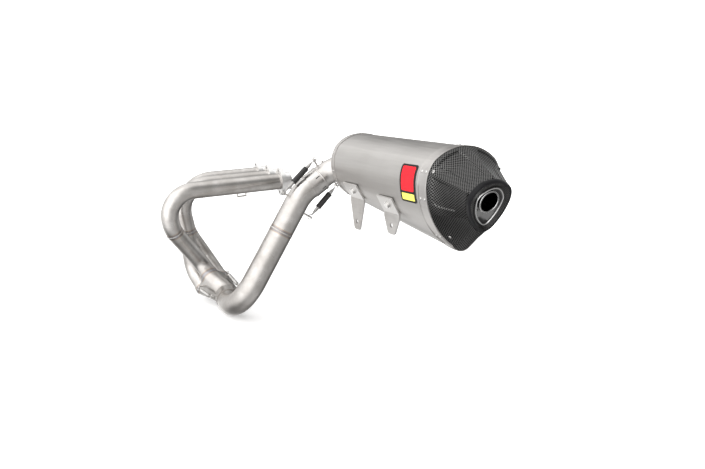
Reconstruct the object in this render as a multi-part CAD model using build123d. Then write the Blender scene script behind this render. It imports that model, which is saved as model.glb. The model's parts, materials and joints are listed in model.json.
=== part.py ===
from build123d import *
import os
from math import cos, radians, sin

# A 3-into-1 racing exhaust system, in millimetres, +Z up.
# The origin is the centre of the middle port, in the plane of the flanges' tube-side faces.
# +X points along the ports into the engine, and the row of ports runs along Y.

# Ports and flanges
PORT_PITCH = 85.0  # between neighbouring ports
PORT_SLOPE = 0.0455  # the ports climb this much per mm towards the engine
PORT_Y = {"front": PORT_PITCH, "middle": 0.0, "rear": -PORT_PITCH}
PORT_DIR = Vector(1, 0, PORT_SLOPE).normalized()
FLANGE_T = 12.0
FLANGE_R = 26.0
EAR_R = 8.0
STUD_PITCH = 50.0
STUD_HOLE_R = 3.3
PLAY = 0.35  # radial clearance of a loose flange on its pipe
SPIGOT_R = 21.2
SPIGOT_L = 14.0
SEAT_GAP = 0.3  # between a loose flange and its spigot

# Tubes
HEADER_R = 19.05
LINK_R = 25.4
WALL = 1.2
CUP_WALL = 1.6
FIT = 0.05  # radial clearance of a slip joint that turns

# Header routes: the corners of each pipe before the collector, with their bend radii
HEADER_CORNERS = {
    "front": [(-207, 85), (-186, 70, -135)],
    "middle": [(-217, 0)],
    "rear": [(-268, -85), (-250, -76, -98)],
}
HEADER_BENDS = {"front": [78, 57, 60], "middle": [60, 46], "rear": [57, 57, 36]}
HEADER_RUN_IN = {"front": 70.0, "middle": 60.0, "rear": 42.0}  # last corner to inlet
HEADER_SEAM_Z = {"front": -139.0, "middle": -120.0, "rear": -103.0}

# Crossover tubes between the headers
CROSS_X = -97.0
CROSS_R = 12.5
CROSS_CUP_L = 20.0
CROSS_SPRING_DX = 23.0
CROSS_SPRING_Z = 9.0
CROSS_PEG_OUT = 5.5
CROSS_COIL_R = 3.0
CROSS_LOOP_R = 3.9

# Collector: three inlets round one centre, and a turning slip joint at its outlet
INLETS = Vector(-160, -42, -236)
INLET_DIR = Vector(0.25, -0.78, -0.57).normalized()
INLET_SPREAD = 25.0
INLET_ANGLE = {"front": -12.0, "middle": 228.0, "rear": 108.0}
INLET_CUP_L = 12.0
MERGE_R = 26.9
VALLEY_ANGLES = {"left": 168.0, "right": 48.0}  # where the collector's springs lie
SPRING_START = 14.0  # below the inlets
SPRING_END = 10.0  # before the end of the link pipe's cup

# Link pipe
SLIP_1 = Vector(-146, -130, -258)
LINK_LOW = Vector(-160, -224, -275)
LINK_HIGH = Vector(-8, -242, -10)
SLIP_2 = Vector(38, -243, 22)
LINK_BENDS = [79.0, 88.0]
LINK_SEAM_Z = -88.0
CUP_1_L = 26.0
CUP_2_L = 30.0
MALE_L = 24.0  # how far a male end reaches into its cup
LINK_DIR = (LINK_LOW - SLIP_1).normalized()
NECK_DIR = (SLIP_2 - LINK_HIGH).normalized()

# Muffler, with its axis along -Y
INLET_Y = -356.0
OUTLET_Y = -665.0
INLET_CENTRE = (77.0, 44.0)
OUTLET_CENTRE = (91.0, 31.0)
INLET_SCALE = (0.92, 0.93, 0.66)  # of the width, the top and the bottom
SHOULDER = (57.0, 62.0)
WAIST = (71.0, 26.0)
KEEL = (19.0, -72.0)
CROWN_Z = 83.0
SHOULDER_VIA = (67.0, 46.0)
FLANK_VIA = (57.0, -30.0)
SLEEVE_T = 1.2
BAND_T = 1.0
BAND_W = 11.0
NECK_CORNER = 62.0  # from the slip joint to the inlet pipe's corner
NECK_BEND = 55.0
NECK = Vector(86, -326, 50)
CORE_R = 27.0
CORE_END_Y = -700.0
RIVET_R = 2.4
RIVET_H = 1.3
RIVET_PLACES = [(0.5,), (0.5,), (0.2, 0.8), (0.5,), (0.2, 0.8), (0.5,)]  # along the section's arcs
LAP = 0.1  # between a band and the sleeve below it

# Outlet: the carbon cap's slash-cut rim
RIM = Vector(87, -747, 30)
RIM_PITCH = 30.0
RIM_YAW = 11.0
CARBON_T = 2.0
COLLAR_L = 12.0
SCREW_IN = 7.0  # from the collar to the screws
SCREW_R = 2.9
SCREW_L = 5.5
SCREW_PLACES = [(), (0.4,), (0.85,), (), (0.15,), (0.6,)]
RIM_LIP = 4.0  # the rim's flat edge
LINER_T = 1.2
LINER_DEPTH = 7.0  # from the rim's plane to the ledge that carries the liner's lip
LEDGE = 3.0
LEDGE_T = 2.0
LINER_LIP = 2.6
DAMPER_PITCH = 18.0
DAMPER_MOUTH = Vector(87.3, -742.8, 35.7)
DAMPER_R = 17.0
DAMPER_L = 44.0
FLOOR_BACK = 20.0  # from the damper's mouth to the liner's floor
DAMPER_COLLAR = 3.5
DAMPER_COLLAR_T = 1.5
DAMPER_EAR_R = 5.5
DAMPER_SCREW_R = 2.0
DAMPER_SCREW_AT = (4.0, -20.5)  # from the damper's axis
# The rim's and the liner's outlines in the rim's plane: corners, then a point on the arc after each corner.
RIM_CORNERS = [(-42, 42), (12, 38), (40, 6), (34, -42), (8, -50), (-50, 4)]
RIM_VIAS = [(-15, 46), (31, 25), (41, -18), (22, -52), (-26, -26), (-53, 29)]
LINER_CORNERS = [(-24, 23), (4, 27), (26, 9), (24, -33), (9, -38), (-31, 8)]
LINER_VIAS = [(-11.5, 28.6), (17, 19), (29, -8), (18, -39.5), (-13, -21), (-30.5, 16.5)]
PLATE_IN = 2.0
PLATE_T = 1.5
BIG = 200.0  # a cutting box larger than the muffler

# Hanging brackets: the muffler's y, the width and the hang below the bend
BRACKETS = {"front": (-425.0, 54.0, 62.0), "rear": (-547.5, 51.0, 39.0)}
BRACKET_T = 3.0
STRAP_GAP = 0.4
BOLT_R = 3.0
BOLT_HEAD_H = 3.5
BRACKET_HOLE_R = 4.2
BRACKET_TIP_R = 11.0
STRAP_UP = 16.0
STRAP_DOWN = 17.0

# Blank badge on the left flank: its y from and to, and its z from and to
BADGE_BOX = (-602.0, -646.0, 24.0, 84.0)
BADGE_T = 0.5

# Springs
COIL_R = 4.2
WIRE_R = 0.9
LOOP_R = 5.0
HOOK_R = 1.9
HOOK_DROP = 5.0
HOOK_RISE = 3.5
SLEEVE_PLAY = 0.3
RUBBER_T = 1.8
VALLEY_WALL = INLET_SPREAD / 2 + HEADER_R + CUP_WALL  # from the inlets' centre to a flat between them
HOOK_OUT = 10.0  # from a wall to a hook's peg

# The springs across the muffler's slip joint: each peg's centre, and the stretch in rubber
MUFFLER_SPRINGS = {
    "left": (Vector(-49, -247, -4), Vector(22, -247, 63), 0.31, 0.74),
    "right": (Vector(12, -243, -61), Vector(74, -246, 4), 0.30, 0.75),
    "back": (Vector(-22, -206, -18), Vector(60, -206, 53), 0.28, 0.78),
}


def save(name, *shapes):
    """Write one node, which may hold several separate solids."""
    found = [solid for shape in shapes for solid in shape.solids()]
    node = found[0] if len(found) == 1 else Compound(children=found)
    export_step(node, f"parts/{name}.step")


def ring(start, direction, outer, inner, length):
    """A round tube or disc that starts at a point and runs along a direction."""
    face = Circle(outer) - Circle(inner) if inner else Circle(outer)
    return extrude(Plane(origin=start, z_dir=direction) * face, length)


def rod(a, b, radius):
    return ring(a, (b - a).normalized(), radius, 0, (b - a).length)


def swept(path, radius):
    return sweep(Plane(origin=path @ 0, z_dir=path % 0) * Circle(radius), path=path)


def pipe(path, radius):
    return swept(path, radius) - swept(path, radius - WALL)


def fraction_at(path, z):
    """How far along a route it passes a height that it crosses once."""
    low, high = 0.0, 1.0
    rising = (path @ 1).Z > (path @ 0).Z
    for _ in range(40):
        middle = (low + high) / 2
        if ((path @ middle).Z > z) == rising:
            high = middle
        else:
            low = middle
    return (low + high) / 2


def two_lengths(path, z, radius):
    """A pipe in two lengths that meet square to its line, at a weld seam at one height."""
    seam = fraction_at(path, z)
    return pipe(path.trim(0.0, seam), radius), pipe(path.trim(seam, 1.0), radius)


# ---- Headers ----
def on_port(name, x):
    """The point on a port's axis at one x."""
    return Vector(x, PORT_Y[name], x * PORT_SLOPE)


def around_inlets(angle, radius, back=0.0):
    """A point round the collector's inlet axis, some way before the inlets' mouths."""
    up = INLET_DIR.cross(Vector(1, 0, 0)).normalized()
    across = up.cross(INLET_DIR).normalized()
    turn = radians(angle)
    return INLETS - INLET_DIR * back + (across * cos(turn) + up * sin(turn)) * radius


def inlet(name, back=0.0):
    return around_inlets(INLET_ANGLE[name], INLET_SPREAD, back)


def header_path(name):
    corners = [on_port(name, c[0]) if len(c) == 2 else Vector(*c) for c in HEADER_CORNERS[name]]
    start = on_port(name, 0) + PORT_DIR * (FLANGE_T + SEAT_GAP)
    points = [start, *corners, inlet(name, HEADER_RUN_IN[name]), inlet(name)]
    return FilletPolyline(*points, radius=HEADER_BENDS[name])


def header(name):
    """One primary: its upper bend and its lower leg meet at a weld seam."""
    upper, lower = two_lengths(header_path(name), HEADER_SEAM_Z[name], HEADER_R)
    for bore in crossover_bores(name):
        upper -= bore
    return upper, lower


def flange_outline():
    """The two-bolt shape: a round middle and two ears, drawn round their hull."""
    middle = CenterArc((0, 0), FLANGE_R, 0, 360)
    ears = [CenterArc((0, side * STUD_PITCH / 2), EAR_R, 0, 360) for side in (-1, 1)]
    return make_hull([middle, *ears])


def flange(name):
    plane = Plane(origin=on_port(name, 0), x_dir=(0, 1, 0), z_dir=PORT_DIR)
    studs = [Pos(0, side * STUD_PITCH / 2) * Circle(STUD_HOLE_R) for side in (-1, 1)]
    face = flange_outline() - Circle(HEADER_R + PLAY) - studs[0] - studs[1]
    return extrude(plane * face, FLANGE_T)


def spigot(name):
    start = on_port(name, 0) + PORT_DIR * (FLANGE_T + SEAT_GAP)
    return ring(start, PORT_DIR, SPIGOT_R, HEADER_R - WALL, SPIGOT_L)


# ---- Crossovers ----
def cross_point(y):
    return Vector(CROSS_X, y, CROSS_X * PORT_SLOPE)


def crossover_bores(name):
    """The holes that a header's crossovers open in its wall."""
    y = PORT_Y[name]
    sides = {"front": [-1], "middle": [-1, 1], "rear": [1]}[name]
    return [rod(cross_point(y), cross_point(y + side * HEADER_R * 2), CROSS_R - WALL) for side in sides]


def crossover(y_high):
    """A male tube from the header at y_high, held in a cup on the next header."""
    y_low = y_high - PORT_PITCH
    y_mouth = (y_high + y_low) / 2
    down = Vector(0, -1, 0)
    bores = [rod(Vector(-400, y, -400 * PORT_SLOPE), on_x(y, 100), HEADER_R) for y in (y_high, y_low)]
    male = ring(cross_point(y_high), down, CROSS_R, CROSS_R - WALL, y_high - y_mouth + CROSS_CUP_L / 2)
    cup_start = cross_point(y_mouth + CROSS_CUP_L / 2)
    cup = ring(cup_start, down, CROSS_R + FIT + WALL, CROSS_R + FIT, CROSS_CUP_L)
    foot_start = cross_point(y_mouth - CROSS_CUP_L / 2)
    foot_l = foot_start.Y - y_low
    foot = ring(foot_start, down, CROSS_R + FIT + WALL, CROSS_R - WALL, foot_l)
    return male - bores[0], (cup + foot) - bores[1]


def on_x(y, x):
    return Vector(x, y, x * PORT_SLOPE)


def crossover_springs(y_high):
    """Two springs alongside each crossover, between pegs welded on the two headers."""
    hooks = []
    springs = []
    up = Vector(0, 0, 1)
    for side in (-1, 1):
        x = CROSS_X + side * CROSS_SPRING_DX
        z = x * PORT_SLOPE + CROSS_SPRING_Z
        pegs = []
        for y, inward in ((y_high, -1), (y_high - PORT_PITCH, 1)):
            peg = Vector(x, y + inward * (HEADER_R + CROSS_PEG_OUT), z)
            hooks.append(hook(peg, up, Vector(x, y, z - HOOK_DROP)) - header_core(y))
            pegs.append(peg)
        springs.append(spring(pegs[0], pegs[1], up, CROSS_COIL_R, CROSS_LOOP_R))
    return hooks, springs


def header_core(y):
    """The solid that a header's straight run fills."""
    return rod(on_x(y, CROSS_X * 2), on_x(y, FLANGE_T), HEADER_R)


def rear_hook():
    """A bent-rod hook under the rear header."""
    drop = Vector(0, 0, -HEADER_R - 6)
    a, b = on_x(-PORT_PITCH, -82) + drop, on_x(-PORT_PITCH, -102) + drop
    top = Vector(0, 0, 8)
    body = rod(a, b, HOOK_R) + rod(a, a + top, HOOK_R) + rod(b, b + top, HOOK_R)
    body += Pos(*a) * Sphere(HOOK_R) + Pos(*b) * Sphere(HOOK_R)
    return body - header_core(-PORT_PITCH)


# ---- Collector ----
def inlet_cup(name):
    """The sleeve on a merge branch that a header's end sits in."""
    return ring(inlet(name, INLET_CUP_L), INLET_DIR, HEADER_R + CUP_WALL, HEADER_R, INLET_CUP_L)


def merge_face(shrink):
    """The rounded triangle round the three inlets, as three arcs and three straights."""
    corners = []
    radius = HEADER_R + CUP_WALL - shrink
    for name in ("front", "rear", "middle"):
        middle = INLET_ANGLE[name]
        centre = inlet(name)
        out = [around_inlets(middle + turn, radius) - INLETS for turn in (-60, 0, 60)]
        corners.append([centre + offset for offset in out])
    edges = []
    for index, (start, via, end) in enumerate(corners):
        edges.append(ThreePointArc(start, via, end))
        edges.append(Line(end, corners[(index + 1) % len(corners)][0]))
    return make_face(Wire(edges))


def outlet_face(shrink):
    """The collector's round outlet, cut into the same six pieces as the merge face."""
    centre = SLIP_1 - LINK_DIR * CUP_1_L
    plane = Plane(origin=centre, z_dir=LINK_DIR)
    radius = MERGE_R - shrink

    def at(angle):
        offset = around_inlets(angle, 1.0) - INLETS
        flat = (offset - LINK_DIR * offset.dot(LINK_DIR)).normalized()
        return centre + flat * radius

    edges = []
    for name in ("front", "rear", "middle"):
        middle = INLET_ANGLE[name]
        edges.append(ThreePointArc(at(middle - 35), at(middle), at(middle + 35)))
        edges.append(ThreePointArc(at(middle + 35), at(middle + 60), at(middle + 85)))
    return make_face(Wire(edges))


def merge():
    """The hollow body that draws three branches into one outlet."""
    outer = loft([merge_face(0), outlet_face(0)], ruled=True)
    inner = loft([merge_face(WALL + CUP_WALL), outlet_face(WALL + CUP_WALL)], ruled=True)
    plate = extrude(merge_face(0), amount=WALL, dir=INLET_DIR) & outer
    for name in INLET_ANGLE:
        plate -= ring(inlet(name, 5), INLET_DIR, HEADER_R - WALL, 0, 10)
    return (outer - inner) + plate


def collector_outlet():
    """The male end that the link pipe's cup turns on."""
    start = SLIP_1 - LINK_DIR * CUP_1_L
    return ring(start, LINK_DIR, LINK_R, LINK_R - WALL, MALE_L)


# ---- Springs and hooks ----
def hook(peg, peg_dir, foot):
    """A bent rod: a leg from the foot to below the peg, and a short peg for a spring's loop."""
    low, high = peg - peg_dir * HOOK_DROP, peg + peg_dir * HOOK_RISE
    return rod(low, high, HOOK_R) + rod(foot, low, HOOK_R) + Pos(*low) * Sphere(HOOK_R)


def spring(a, b, loop_axis, coil_r=COIL_R, loop_r=LOOP_R, coil=(0.0, 1.0)):
    """A coil's envelope and its straight ends, between two loops round the pegs at a and b."""
    line = (b - a).normalized()
    length = (b - a).length
    tail = loop_r + 2
    coil_a = a + line * max(tail, length * coil[0])
    coil_b = a + line * min(length - tail, length * coil[1])
    body = rod(coil_a, coil_b, coil_r)
    body += rod(a + line * loop_r, coil_a, WIRE_R) + rod(coil_b, b - line * loop_r, WIRE_R)
    for peg in (a, b):
        body += Plane(origin=peg, z_dir=loop_axis) * Torus(loop_r, WIRE_R)
    return body


def rubber(a, b, start, end):
    """The rubber sleeve over a spring's coil."""
    line = (b - a).normalized()
    length = (b - a).length
    inner = COIL_R + SLEEVE_PLAY
    return ring(a + line * length * start, line, inner + RUBBER_T, inner, length * (end - start))


def collector_springs():
    """The springs that hold the link pipe's cup on the collector, and their two sets of hooks."""
    upstream, downstream, springs = [], [], []
    for angle in VALLEY_ANGLES.values():
        radial = around_inlets(angle, 1.0) - INLETS
        wall_point = INLETS + INLET_DIR * SPRING_START
        a = wall_point + radial * (VALLEY_WALL + HOOK_OUT)
        flat = (radial - LINK_DIR * radial.dot(LINK_DIR)).normalized()
        cup_point = SLIP_1 - LINK_DIR * SPRING_END
        b = cup_point + flat * (LINK_R + CUP_WALL + HOOK_OUT)
        axis = (b - a).normalized().cross(radial).normalized()
        upstream.append(hook(a, axis, wall_point - axis * HOOK_DROP))
        downstream.append(hook(b, axis, cup_point - axis * HOOK_DROP))
        springs.append(spring(a, b, axis, coil=(0.15, 0.85)))
    return upstream, downstream, springs


def muffler_spring(name):
    """One spring across the muffler's slip joint, with the hooks that it needs on each side."""
    low, high, start, end = MUFFLER_SPRINGS[name]
    line = (high - low).normalized()
    middle = (low + high) * 0.5 - SLIP_2
    radial = (middle - NECK_DIR * middle.dot(NECK_DIR)).normalized()
    axis = line.cross(radial).normalized()
    link_foot = nearest(link_path(), low)
    neck_foot = nearest(neck_path(), high)
    low_hook = hook(low, axis, link_foot - axis * HOOK_DROP)
    high_hook = hook(high, axis, neck_foot - axis * HOOK_DROP)
    body = spring(low, high, axis, coil=(start - 0.07, end + 0.07))
    return low_hook, high_hook, body, rubber(low, high, start, end)


def nearest(path, point):
    """The point of a route that is nearest to another point."""
    steps = 200
    spots = [path @ (i / steps) for i in range(steps + 1)]
    return min(spots, key=lambda spot: (spot - point).length)


# ---- Link pipe ----
def link_path():
    points = [SLIP_1, LINK_LOW, LINK_HIGH, SLIP_2 - NECK_DIR * CUP_2_L]
    return FilletPolyline(*points, radius=LINK_BENDS)


def link_pipes():
    """The link pipe's lower and upper lengths, with a cup at each end."""
    lower, upper = two_lengths(link_path(), LINK_SEAM_Z, LINK_R)
    lower += cup(SLIP_1 - LINK_DIR * (CUP_1_L - 1), LINK_DIR, CUP_1_L - 1)
    upper += cup(SLIP_2, NECK_DIR * -1, CUP_2_L)
    return lower, upper


def cup(mouth, inward, length):
    """A widened pipe end, open at its mouth and stepped down to the pipe."""
    outer = LINK_R + FIT + CUP_WALL
    body = ring(mouth, inward, outer, LINK_R + FIT, length)
    step = ring(mouth + inward * length, inward, outer, LINK_R, CUP_WALL)
    return body + step


# ---- Muffler ----
def section_points(y, grow=0.0):
    """The corners and mid-arc points of the muffler's section at one y."""
    t = (INLET_Y - y) / (INLET_Y - OUTLET_Y)
    t = max(0.0, min(1.0, t))
    cx, cz = [a + (b - a) * t for a, b in zip(INLET_CENTRE, OUTLET_CENTRE)]
    wide, top, low = [s + (1 - s) * t for s in INLET_SCALE]

    def at(point):
        x, z = point
        reach = (x * x + z * z) ** 0.5
        k = (reach + grow) / reach
        return Vector(cx + x * wide * k, y, cz + z * (top if z > 0 else low) * k)

    def mirrored(point):
        return (-point[0], point[1])

    corners = [mirrored(SHOULDER), SHOULDER, WAIST, KEEL, mirrored(KEEL), mirrored(WAIST)]
    vias = [(0, CROWN_Z), SHOULDER_VIA, FLANK_VIA, (0, -CROWN_Z), mirrored(FLANK_VIA), mirrored(SHOULDER_VIA)]
    return [at(c) for c in corners], [at(v) for v in vias]


def six_arcs(corners, vias):
    edges = [ThreePointArc(corners[i], vias[i], corners[(i + 1) % 6]) for i in range(6)]
    return make_face(Wire(edges))


def section(y, grow=0.0):
    return six_arcs(*section_points(y, grow))


def round_section(centre, y, radius):
    """A circle in six arcs that match the corners of the muffler's section."""
    corner_angles = [130, 50, 20, -75, -105, -200]
    via_angles = [90, 35, -27.5, -90, -152.5, 145]

    def at(angle):
        turn = radians(angle)
        return Vector(centre.X + radius * cos(turn), y, centre.Z + radius * sin(turn))

    return six_arcs([at(a) for a in corner_angles], [at(a) for a in via_angles])


def sleeve_shell(y_a, y_b, outer, inner):
    return loft([section(y_a, outer), section(y_b, outer)], ruled=True) - loft(
        [section(y_a, inner), section(y_b, inner)], ruled=True
    )


def inlet_cap():
    """The dished plate that closes the inlet end round the inlet pipe."""
    outer = loft([section(INLET_Y, 0), round_section(NECK, NECK.Y, LINK_R + WALL)], ruled=True)
    inner = loft([section(INLET_Y, -WALL), round_section(NECK, NECK.Y, LINK_R)], ruled=True)
    return outer - inner - swept(neck_path(), LINK_R)


def neck_path():
    """The inlet pipe's route, from inside the slip joint's cup to the inlet cap."""
    corner = SLIP_2 + NECK_DIR * NECK_CORNER
    return FilletPolyline(SLIP_2 - NECK_DIR * MALE_L, corner, NECK, radius=[NECK_BEND])


def core():
    """The straight tube that carries the gas through the muffler."""
    return ring(Vector(NECK.X, INLET_Y - 4, NECK.Z), Vector(0, -1, 0), CORE_R, CORE_R - WALL, INLET_Y - 4 - CORE_END_Y)


def packing():
    """The sound-absorbing wool between the core and the outer sleeve."""
    y_a, y_b = INLET_Y - BAND_W, OUTLET_Y + BAND_W
    wool = loft([section(y_a, -SLEEVE_T - 1), section(y_b, -SLEEVE_T - 1)], ruled=True)
    return wool - rod(Vector(NECK.X, y_a + 5, NECK.Z), Vector(NECK.X, y_b - 5, NECK.Z), CORE_R)


def band(y_start, y_end):
    return sleeve_shell(y_start, y_end, BAND_T + LAP, LAP)


def studs(y, places, grow, radius, length):
    """Round heads standing out of the muffler's section, at fractions of each of its arcs."""
    corners, vias = section_points(y, grow)
    centre = (vias[0] + vias[3]) * 0.5
    heads = []
    for index, fractions in enumerate(places):
        arc = ThreePointArc(corners[index], vias[index], corners[(index + 1) % 6])
        for u in fractions:
            out = (arc % u).cross(Vector(0, 1, 0)).normalized()
            if out.dot(arc @ u - centre) < 0:
                out = out * -1
            heads.append(ring(arc @ u, out, radius, 0, length))
    return heads


# ---- Outlet ----
def rim_dir():
    pitch, yaw = radians(RIM_PITCH), radians(RIM_YAW)
    return Vector(sin(yaw) * cos(pitch), -cos(yaw) * cos(pitch), -sin(pitch))


def rim_plane(back=0.0):
    yaw = radians(RIM_YAW)
    return Plane(origin=RIM - rim_dir() * back, x_dir=(cos(yaw), sin(yaw), 0), z_dir=rim_dir())


def in_rim_plane(corners, vias, grow, back):
    """A face in or behind the rim's plane, bounded by six arcs."""
    plane = rim_plane(back)

    def at(point):
        x, y = point
        reach = (x * x + y * y) ** 0.5
        k = (reach + grow) / reach
        return plane.from_local_coords(Vector(x * k, y * k, 0))

    return six_arcs([at(c) for c in corners], [at(v) for v in vias])


def rim_face(grow=0.0, back=0.0):
    return in_rim_plane(RIM_CORNERS, RIM_VIAS, grow, back)


def liner_face(grow=0.0, back=0.0):
    return in_rim_plane(LINER_CORNERS, LINER_VIAS, grow, back)


def damper_dir():
    pitch = radians(DAMPER_PITCH)
    return Vector(0, -cos(pitch), -sin(pitch))


def damper_plane(back=0.0):
    return Plane(origin=DAMPER_MOUTH - damper_dir() * back, x_dir=(1, 0, 0), z_dir=damper_dir())


def cap_screws():
    y = OUTLET_Y - COLLAR_L - SCREW_IN
    return studs(y, SCREW_PLACES, -CARBON_T - 3, SCREW_R, SCREW_L)


def carbon_cap():
    """The tapering end cap: a collar under the band, and a funnel inside its slash-cut rim."""
    collar_end = OUTLET_Y - COLLAR_L
    collar = sleeve_shell(OUTLET_Y, collar_end, 0, -CARBON_T)
    outer = loft([section(collar_end, 0), rim_face(0)], ruled=True)
    inner = loft([section(collar_end, -CARBON_T), rim_face(-CARBON_T)], ruled=True)
    plug = loft([rim_face(0), liner_face(LEDGE + CARBON_T, LINER_DEPTH + LEDGE_T)], ruled=True)
    funnel = loft([rim_face(-RIM_LIP), liner_face(LEDGE, LINER_DEPTH)], ruled=True)
    mouth = extrude(liner_face(SEAT_GAP, LINER_DEPTH), 2 * LEDGE_T, both=True, dir=damper_dir())
    body = collar + (outer - inner) + (plug - funnel - mouth)
    for screw in cap_screws():
        body -= screw
    return body


def outlet_plate():
    """The plate inside the cap that closes the outlet end round the core."""
    y = OUTLET_Y - PLATE_IN
    plate = extrude(section(y, -CARBON_T - 1), amount=PLATE_T, dir=Vector(0, -1, 0))
    reach = 2 * PLATE_T
    hole = rod(Vector(NECK.X, y + reach, NECK.Z), Vector(NECK.X, y - reach, NECK.Z), CORE_R)
    return plate - hole


def liner():
    """The polished liner: a lip on the cap's ledge, walls along the damper and a floor."""
    depth = 2 * FLOOR_BACK
    inward = damper_dir() * -1
    floor_top = damper_plane(FLOOR_BACK)
    walls = extrude(liner_face(0, LINER_DEPTH), depth, dir=inward) - extrude(
        liner_face(-LINER_T, LINER_DEPTH), depth, dir=inward
    )
    floor = extrude(liner_face(0, LINER_DEPTH), depth, dir=inward)
    beyond = floor_top * Pos(0, 0, -LINER_T - BIG / 2) * Box(BIG, BIG, BIG)
    ahead = floor_top * Pos(0, 0, BIG / 2) * Box(BIG, BIG, BIG)
    lip = extrude(liner_face(LINER_LIP, LINER_DEPTH), LINER_T, dir=rim_dir())
    lip -= extrude(liner_face(-LINER_T, LINER_DEPTH), LINER_T, both=True, dir=rim_dir())
    body = (walls - beyond) + (floor - beyond - ahead) + lip
    for radius, at in ((DAMPER_R + PLAY, (0, 0)), (DAMPER_SCREW_R + SEAT_GAP, DAMPER_SCREW_AT)):
        body -= extrude(floor_top * Pos(*at) * Circle(radius), FLOOR_BACK / 2, both=True)
    return body


def damper():
    """The removable round outlet tube, whose collar has an ear for one screw."""
    tube_face = damper_plane(DAMPER_L) * (Circle(DAMPER_R) - Circle(DAMPER_R - WALL))
    face = Circle(DAMPER_R + DAMPER_COLLAR) + Pos(*DAMPER_SCREW_AT) * Circle(DAMPER_EAR_R)
    face = face - Circle(DAMPER_R) - Pos(*DAMPER_SCREW_AT) * Circle(DAMPER_SCREW_R)
    return extrude(tube_face, DAMPER_L) + extrude(damper_plane(FLOOR_BACK - SEAT_GAP) * face, DAMPER_COLLAR_T)


def damper_screw():
    top = FLOOR_BACK - SEAT_GAP - DAMPER_COLLAR_T
    at = Pos(*DAMPER_SCREW_AT)
    shank = extrude(damper_plane(FLOOR_BACK + 4) * at * Circle(DAMPER_SCREW_R), FLOOR_BACK + 4 - top)
    head = extrude(damper_plane(top) * at * Circle(DAMPER_SCREW_R * 1.7), 3)
    return shank + head


# ---- Brackets ----
def flank(y):
    """The point and outward direction at the middle of the muffler's left flank."""
    corners, vias = section_points(y, 0)
    chord = (corners[4] - corners[5]).normalized()
    out = Vector(chord.Z, 0, -chord.X)
    return vias[4], chord, out if out.X < 0 else out * -1


def bracket(name):
    """A strap along the flank that bends straight down into a rounded tongue."""
    y, width, hang = BRACKETS[name]
    touch, down, out = flank(y)
    start = touch + out * STRAP_GAP
    top, bend = start - down * STRAP_UP, start + down * STRAP_DOWN
    thick = out * BRACKET_T
    strap = make_face(Polyline(top, bend, bend + thick, top + thick, close=True))
    strap = extrude(strap, amount=width / 2, both=True, dir=(0, 1, 0))
    sheet = Vector((bend + thick).X, y, bend.Z)
    plane = Plane(origin=sheet, x_dir=(0, 1, 0), z_dir=(1, 0, 0))
    half = width / 2
    outline = [(-half, 1), (half, 1), (half, -9), (BRACKET_TIP_R, -hang), (-BRACKET_TIP_R, -hang), (-half, -9)]
    tongue = make_face(FilletPolyline(*outline, radius=[0.5, 0.5, 14, 8, 8, 14], close=True))
    hole = Pos(0, BRACKET_TIP_R + 5 - hang) * Circle(BRACKET_HOLE_R)
    hanging = extrude(plane * (tongue - hole), BRACKET_T)
    return strap + hanging - rod(touch, touch + out * 20, BOLT_R)


def bracket_bolt(name):
    touch, down, out = flank(BRACKETS[name][0])
    foot = touch + out * LAP
    head = touch + out * (STRAP_GAP + BRACKET_T)
    return rod(foot, head, BOLT_R) + rod(head, head + out * BOLT_HEAD_H, BOLT_R * 1.8)


def badge():
    """A blank plate that follows the left flank."""
    y_a, y_b, z_a, z_b = BADGE_BOX
    shell = sleeve_shell(y_a, y_b, BADGE_T + LAP, LAP)
    window = Pos(OUTLET_CENTRE[0] - BIG / 2, (y_a + y_b) / 2, (z_a + z_b) / 2) * Box(BIG, BIG, z_b - z_a)
    return shell & window


def save_headers():
    for name in PORT_Y:
        upper, lower = header(name)
        save(f"header_upper_{name}", upper)
        save(f"header_lower_{name}", lower)
        save(f"flange_{name}", flange(name))
        save(f"spigot_{name}", spigot(name))
        save(f"inlet_cup_{name}", inlet_cup(name))
    hooks = []
    for label, y_high in (("front", PORT_PITCH), ("rear", 0.0)):
        male, female = crossover(y_high)
        save(f"crossover_tube_{label}", male)
        save(f"crossover_cup_{label}", female)
        found, springs = crossover_springs(y_high)
        hooks += found
        save(f"crossover_springs_{label}", *springs)
    save("crossover_hooks", *hooks)
    save("rear_header_hook", rear_hook())


def save_collector_and_link():
    body, outlet = merge(), collector_outlet()
    lower, upper = link_pipes()
    link_core = swept(link_path(), LINK_R)
    neck_core = swept(neck_path(), LINK_R)
    merge_core = loft([merge_face(0), outlet_face(0)], ruled=True)
    cup_core = rod(SLIP_1 - LINK_DIR * CUP_1_L, SLIP_1, LINK_R + FIT + CUP_WALL)
    upstream, downstream, springs = collector_springs()
    save("collector_merge", body)
    save("collector_outlet", outlet)
    save("collector_hooks", *[h - merge_core for h in upstream])
    save("collector_springs", *springs)
    save("link_cup_hooks", *[h - cup_core for h in downstream])
    save("link_pipe_lower", lower)
    save("link_pipe_upper", upper)
    low_hooks, high_hooks = [], []
    for name in MUFFLER_SPRINGS:
        low, high, body, sleeve = muffler_spring(name)
        low_hooks.append(low - link_core)
        high_hooks.append(high - neck_core)
        save(f"muffler_spring_{name}", body)
        save(f"rubber_sleeve_{name}", sleeve)
    save("link_pipe_hooks", *low_hooks)
    save("inlet_pipe_hooks", *high_hooks)


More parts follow.
